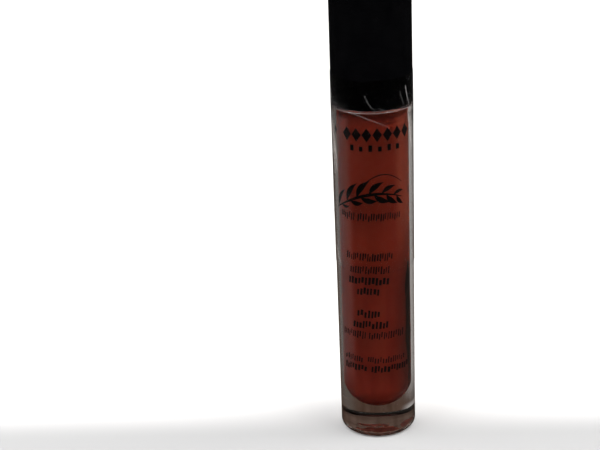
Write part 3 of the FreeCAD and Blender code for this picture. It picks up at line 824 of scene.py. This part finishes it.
def build_film(name, z0, z1, node, body, upper):
    """A drawn-tight sheet with slack waves and a slightly wavy free edge."""
    thick = 0.045
    segs = 360
    rows = max(24, int((z1 - z0) / 0.25))
    bm = bmesh.new()
    outer, inner = [], []
    for i in range(rows + 1):
        z = z0 + (z1 - z0) * i / rows
        ro_, ri_ = [], []
        free = max(0.0, 1 - (z1 - z) / 1.6) if upper else max(0.0, 1 - (z - z0) / 1.6)
        for k in range(segs):
            a = TAU * k / segs
            edge = 0.16 * free * (math.sin(a * 3 + 0.7) + 0.55 * math.sin(a * 7 + 2.1) + 0.3 * math.sin(a * 13))
            slack = 0.007 * (1 + math.sin(a * 5 + z * 0.21)) * (1 + math.sin(a * 2 - z * 0.33))
            r = film_r(z, upper) + 0.022 + slack
            zz = z + (-abs(edge) if upper else abs(edge))
            c, q = math.cos(a), math.sin(a)
            ri_.append(bm.verts.new((r * c * MM, r * q * MM, zz * MM)))
            ro_.append(bm.verts.new(((r + thick) * c * MM, (r + thick) * q * MM, zz * MM)))
        outer.append(ro_)
        inner.append(ri_)
    for i in range(rows):
        for k in range(segs):
            j = (k + 1) % segs
            bm.faces.new((outer[i][k], outer[i][j], outer[i + 1][j], outer[i + 1][k]))
            bm.faces.new((inner[i][k], inner[i + 1][k], inner[i + 1][j], inner[i][j]))
    for k in range(segs):
        j = (k + 1) % segs
        bm.faces.new((outer[0][k], inner[0][k], inner[0][j], outer[0][j]))
        bm.faces.new((outer[-1][k], outer[-1][j], inner[-1][j], inner[-1][k]))
    ob = finish_mesh(name, bm, M["film"], 60.0)
    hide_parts(node)
    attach(ob, body)
    return ob


# ------------------------------------------------------------------ printed marks
def on_bottle(x_mm, z, lift):
    """A point x_mm round the bottle from the print's middle, at height z."""
    r = bottle_r(z) + lift
    a = math.radians(-90 - 7.0 * 0) + (x_mm + PRINT_X) / bottle_r(z)
    return Vector((r * math.cos(a) * MM, r * math.sin(a) * MM, z * MM))


PRINT_X = 0.0


def ink_outline(bm, pts, lift=0.002, thick=0.012):
    """A flat printed shape: a closed outline in (x, z), filled as a fan of thin cells."""
    top = [bm.verts.new(on_bottle(x, z, lift + thick)) for x, z in pts]
    bot = [bm.verts.new(on_bottle(x, z, lift)) for x, z in pts]
    n = len(pts)
    bm.faces.new(top)
    bm.faces.new(list(reversed(bot)))
    for i in range(n):
        j = (i + 1) % n
        bm.faces.new((top[i], bot[i], bot[j], top[j]))


def ink_strip(bm, path, width, lift=0.002, thick=0.012):
    """A printed line along a path in (x, z); width is a number or a function of 0..1."""
    n = len(path)
    left, right = [], []
    for i, (x, z) in enumerate(path):
        a = path[max(0, i - 1)]
        b = path[min(n - 1, i + 1)]
        dx, dz = b[0] - a[0], b[1] - a[1]
        L = math.hypot(dx, dz) or 1.0
        w = (width(i / (n - 1)) if callable(width) else width) / 2
        nx, nz = -dz / L * w, dx / L * w
        left.append((x + nx, z + nz))
        right.append((x - nx, z - nz))
    rows = []
    for (lx, lz), (rx, rz) in zip(left, right):
        rows.append(
            [
                bm.verts.new(on_bottle(lx, lz, lift)),
                bm.verts.new(on_bottle(lx, lz, lift + thick)),
                bm.verts.new(on_bottle(rx, rz, lift + thick)),
                bm.verts.new(on_bottle(rx, rz, lift)),
            ]
        )
    for a, b in zip(rows, rows[1:]):
        for k in range(4):
            m = (k + 1) % 4
            bm.faces.new((a[k], a[m], b[m], b[k]))
    bm.faces.new(rows[0])
    bm.faces.new(list(reversed(rows[-1])))


def bar(bm, x0, x1, z0, z1, slant=0.0):
    """A rounded bar made as a wide strip, so that it follows the bottle's curve."""
    n = max(4, int((x1 - x0) / 0.25))
    h = z1 - z0
    mid = (z0 + z1) / 2
    path = [(x0 + (x1 - x0) * i / n, mid + slant * (i / n - 0.5)) for i in range(n + 1)]

    def w(t):
        d = min(t, 1 - t) * (x1 - x0)
        k = min(h * 0.35, (x1 - x0) / 2)
        if d >= k:
            return h
        u = 1 - d / k
        return h - 2 * k * (1 - math.sqrt(max(0.0, 1 - u * u))) * 0.9

    ink_strip(bm, path, w)


def ink_piece(name, bm, mat):
    ob = finish_mesh(name, bm, mat, 40.0)
    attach(ob, "bottle")
    return ob


def diamond(bm, x, z, w, h):
    """A filled diamond made as a strip, so that it follows the bottle's curve."""
    ink_strip(bm, [(x + w * i / 12, z + h / 2) for i in range(13)], lambda t: max(0.03, h * (1 - abs(2 * t - 1))))


def stroke(bm, x, z, h, w, slant=0.0):
    ink_strip(bm, [(x + slant * h * t / 5, z + h * t / 5) for t in range(6)], w)


def tick_row(bm, x0, x1, z, h, weight, gaps=()):
    """A run of uneven upright ticks, like a worn scale: it spells nothing. gaps are (from, to) in mm."""
    x = x0
    while x < x1:
        w = rnd.uniform(0.8, 1.25) * weight
        if not any(a < x + w / 2 < b for a, b in gaps):
            tall = h * rnd.uniform(0.62, 1.0)
            base = z + (h - tall) * rnd.choice((0.0, 0.5, 1.0))
            stroke(bm, x + w / 2, base, tall, w, 0.10)
        x += w + rnd.uniform(0.16, 0.30)


def leaf(bm, x, z, angle, length, fat, bend):
    path = []
    for j in range(17):
        u = j / 16
        a = angle + bend * u
        path.append((x + length * u * math.cos(a), z + length * u * math.sin(a)))
    ink_strip(bm, path, lambda t: 0.10 + fat * math.sin(math.pi * t) ** 1.3)


def build_print():
    # heading: a border of heavy diamonds
    bm = bmesh.new()
    for k in range(7):
        diamond(bm, -6.25 + k * 2.06, 65.1, 1.92, 2.85)
    # a small mark to its left
    diamond(bm, -9.15, 65.6, 0.9, 1.9)
    ink_piece("print_heading", bm, M["ink"])
    # a spaced row of short uneven bars under the heading
    bm = bmesh.new()
    for k, tall in enumerate((1.2, 0.95, 1.3, 1.0, 1.3, 1.1)):
        stroke(bm, -4.2 + k * 1.86, 63.2, tall, 0.72)
    ink_piece("print_spaced_row", bm, M["ink"])
    # ornament: a leafy spray in thick and thin strokes
    bm = bmesh.new()
    stem = []
    for i in range(61):
        t = i / 60
        stem.append((-8.9 + 14.9 * t, 50.9 + 2.9 * math.sin(t * 2.9 - 0.2) + 1.0 * t))
    ink_strip(bm, stem, lambda t: 0.18 + 0.46 * math.sin(math.pi * min(1.0, t * 1.02)) ** 1.4)
    for t0, side, ln, fat in [
        (0.06, 1, 4.0, 0.72), (0.12, -1, 1.8, 0.5), (0.22, 1, 4.4, 0.9), (0.27, -1, 2.6, 0.85),
        (0.38, 1, 4.2, 1.05), (0.43, -1, 3.2, 1.0), (0.54, 1, 3.6, 0.95), (0.60, -1, 3.4, 1.05),
        (0.70, 1, 3.0, 0.8), (0.77, -1, 3.0, 0.95), (0.88, 1, 2.2, 0.6), (0.93, -1, 2.4, 0.7),
    ]:
        i = int(t0 * 60)
        px, pz = stem[i]
        qx, qz = stem[min(60, i + 2)]
        leaf(bm, px, pz, math.atan2(qz - pz, qx - px) + side * 1.05, ln * 1.08, fat * 1.05, -side * 0.5)
    # a thin sweep over it
    sweep = []
    for i in range(41):
        t = i / 40
        sweep.append((-2.4 + 8.4 * t, 54.6 + 3.8 * math.sin(math.pi * (0.12 + 0.74 * t))))
    ink_strip(bm, sweep, lambda t: 0.10 + 0.14 * math.sin(math.pi * t))
    ink_piece("print_spray", bm, M["ink"])
    # rows of uneven ticks where the legends stood
    thin = bmesh.new()
    bold = bmesh.new()
    tick_row(thin, -7.3, 5.6, 48.6, 1.75, 0.27, [(-4.1, -3.3)])
    tick_row(thin, -6.2, 3.6, 40.1, 1.7, 0.27)
    tick_row(thin, -5.4, 2.6, 37.3, 1.7, 0.27)
    tick_row(bold, -5.8, 2.8, 34.9, 1.7, 0.46)
    tick_row(bold, -3.9, 0.7, 32.65, 1.7, 0.46)
    tick_row(bold, -4.0, 0.8, 27.6, 1.75, 0.46)
    tick_row(bold, -5.0, 2.0, 25.2, 1.7, 0.46)
    tick_row(thin, -7.7, 5.6, 22.8, 1.7, 0.27, [(-2.3, -1.5)])
    tick_row(thin, -7.5, 5.8, 17.35, 1.45, 0.27, [(-2.9, -2.1)])
    tick_row(bold, -7.5, 6.6, 15.2, 1.55, 0.44, [(-2.2, -1.3)])
    ink_piece("print_rows_thin", thin, M["ink_thin"])
    ink_piece("print_rows_bold", bold, M["ink"])


# ------------------------------------------------------------------ build everything
build_bottle()
build_fill()
build_label()
build_cap()
build_film("seal_film_lower", FILM_LO, FILM_SPLIT_LO, "seal_sleeve_lower", "bottle", False)
build_film("seal_film_upper", FILM_SPLIT_HI, FILM_HI, "seal_sleeve_upper", "cap", True)
build_creases()
build_cut()
build_print()


def dress(node, material):
    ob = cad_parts[node]
    ob.data.materials.clear()
    ob.data.materials.append(material)


dress("wiper", M["wiper"])
dress("inner_cap", M["inner"])
dress("neck_gasket", M["foam"])
dress("applicator_stem", M["stem"])
dress("applicator_tip", M["core"])
dress("applicator_flock", M["flock"])

# ------------------------------------------------------------------ stage and light
bm = bmesh.new()
prof = [0.02, 0.1, 0.3, 0.6, 0.9, 1.1]
ring_pts = [(r, 0.0) for r in prof]
for i in range(1, 21):
    a = math.radians(80 * i / 20)
    ring_pts.append((1.1 + 0.6 * math.sin(a), 0.6 - 0.6 * math.cos(a)))
FLOOR_SEGS = 96
centre = bm.verts.new((0, 0, -0.00012))
rings_ = [
    [bm.verts.new((r * math.cos(TAU * k / FLOOR_SEGS), r * math.sin(TAU * k / FLOOR_SEGS), z - 0.00012)) for k in range(FLOOR_SEGS)]
    for r, z in ring_pts
]
for k in range(FLOOR_SEGS):
    bm.faces.new((centre, rings_[0][k], rings_[0][(k + 1) % FLOOR_SEGS]))
for a, b in zip(rings_, rings_[1:]):
    for k in range(FLOOR_SEGS):
        j = (k + 1) % FLOOR_SEGS
        bm.faces.new((a[k], b[k], b[j], a[j]))
fm, fnt, fb, _ = new_material("pale_floor")
fn = noise(fnt, coords(fnt, 0.02), 0.6, 3.0, 0.5)
ftc = fnt.nodes.new("ShaderNodeTexCoord")
fsep = fnt.nodes.new("ShaderNodeSeparateXYZ")
fnt.links.new(ftc.outputs["Object"], fsep.inputs[0])
fpale = ramp(fnt, fn, [(0.3, (0.66, 0.66, 0.66)), (0.7, (0.70, 0.70, 0.70))])
# Painted shade: the floor colour darkens to grey from about 9 mm behind the axis to 7 mm in front of it, and stays
# grey over the whole front.
fnt.links.new(mix_colour(fnt, remap(fnt, fsep.outputs["Y"], 0.009, -0.007, 0.0, 1.0, True), fpale, (0.375, 0.378, 0.382)), fb.inputs["Base Color"])
fb.inputs["Roughness"].default_value = 0.6
fb.inputs["Specular IOR Level"].default_value = 0.2
floor = finish_mesh("floor", bm, fm, 60.0, recalc=False)
# The object stands in a darker room than its pale floor: reflections and refractions see the room.
floor.visible_glossy = False
floor.visible_transmission = False


def area(name, loc, target, size, power, colour=(1, 1, 1)):
    d = bpy.data.lights.new(name, "AREA")
    d.shape = "RECTANGLE"
    d.size, d.size_y = size
    d.energy = power
    d.color = colour
    o = bpy.data.objects.new(name, d)
    scene.collection.objects.link(o)
    o.location = loc
    o.rotation_euler = (Vector(target) - Vector(loc)).to_track_quat("-Z", "Y").to_euler()
    return o


MID = (0, 0, 0.06)
area("key_left", (-0.50, -0.30, 0.40), MID, (0.35, 0.5), 1.6)
area("fill_right", (0.50, -0.20, 0.35), MID, (0.3, 0.5), 0.9)
top_light = area("top", (0.0, 0.25, 0.95), (0, 0.15, 0), (1.2, 1.0), 4.0)
top_light.visible_transmission = False

world = bpy.data.worlds.new("studio")
world.use_nodes = True
wt = world.node_tree
bg = wt.nodes["Background"]
tc = wt.nodes.new("ShaderNodeTexCoord")
sep = wt.nodes.new("ShaderNodeSeparateXYZ")
wt.links.new(tc.outputs["Generated"], sep.inputs[0])
X, Y, Z = sep.outputs["X"], sep.outputs["Y"], sep.outputs["Z"]


def lobe(fac, colour, below):
    return mix_colour(wt, fac, below, colour)


def both(a, b):
    return maths(wt, "MULTIPLY", a, b)


low = remap(wt, Z, -0.30, -0.42, 0.0, 1.0, True)
band = both(remap(wt, Z, -0.295, -0.325, 0.0, 1.0, True), remap(wt, Z, -0.490, -0.464, 0.0, 1.0, True))
mid = remap(wt, Z, 0.24, 0.40, 0.0, 1.0, True)
high = remap(wt, Z, 0.40, 0.47, 0.0, 1.0, True)
roof = remap(wt, Z, 0.56, 0.66, 0.0, 1.0, True)
back = remap(wt, Y, 0.1, 0.5, 0.0, 1.0, True)
front = remap(wt, Y, 0.35, -0.05, 0.0, 1.0, True)
beside = remap(wt, Y, -0.42, -0.12, 0.0, 1.0, True)
left = both(remap(wt, X, -0.42, -0.76, 0.0, 1.0, True), beside)
right = both(remap(wt, X, 0.35, 0.76, 0.0, 1.0, True), beside)
flank = remap(wt, maths(wt, "ABSOLUTE", X), 0.22, 0.55, 0.0, 1.0, True)
starboard = remap(wt, X, 0.30, 0.60, 0.0, 1.0, True)
patch = noise(wt, tc.outputs["Generated"], 6.0, 3.0, 0.6, 0.5)
sky = ramp(wt, patch, [(0.35, (0.070, 0.043, 0.032)), (0.6, (0.12, 0.080, 0.064))])
ruddy = ramp(wt, patch, [(0.35, (0.026, 0.011, 0.008)), (0.6, (0.064, 0.024, 0.017))])
ground = ramp(wt, patch, [(0.35, (0.058, 0.032, 0.022)), (0.6, (0.092, 0.057, 0.043))])
c = mix_colour(wt, both(mid, back), (0.010, 0.009, 0.008), ruddy)
c = mix_colour(wt, both(high, back), c, sky)
c = mix_colour(wt, both(remap(wt, Z, 0.499, 0.513, 0.0, 0.65, True), back), c, (0.040, 0.021, 0.015))
c = mix_colour(wt, both(low, back), c, ground)
c = mix_colour(wt, both(band, left), c, (0.42, 0.40, 0.39))
c = mix_colour(wt, both(band, right), c, (0.09, 0.072, 0.06))
c = mix_colour(wt, both(remap(wt, Z, -0.44, -0.48, 0.0, 1.0, True), right), c, (0.105, 0.090, 0.078))
# soft light from above, in front and to the sides: the vertical walls mirror none of it
c = mix_colour(wt, both(roof, front), c, (1.85, 1.85, 1.85))
c = mix_colour(wt, both(both(roof, front), flank), c, (5.2, 5.15, 5.1))
c = mix_colour(wt, both(both(roof, front), starboard), c, (8.6, 8.4, 8.2))
wt.links.new(c, bg.inputs["Color"])
bg.inputs["Strength"].default_value = 1.0
scene.world = world

scene.view_settings.view_transform = "Standard"
scene.view_settings.look = "None"
scene.view_settings.exposure = 0.0
scene.view_settings.gamma = 1.0

bpy.context.view_layer.update()
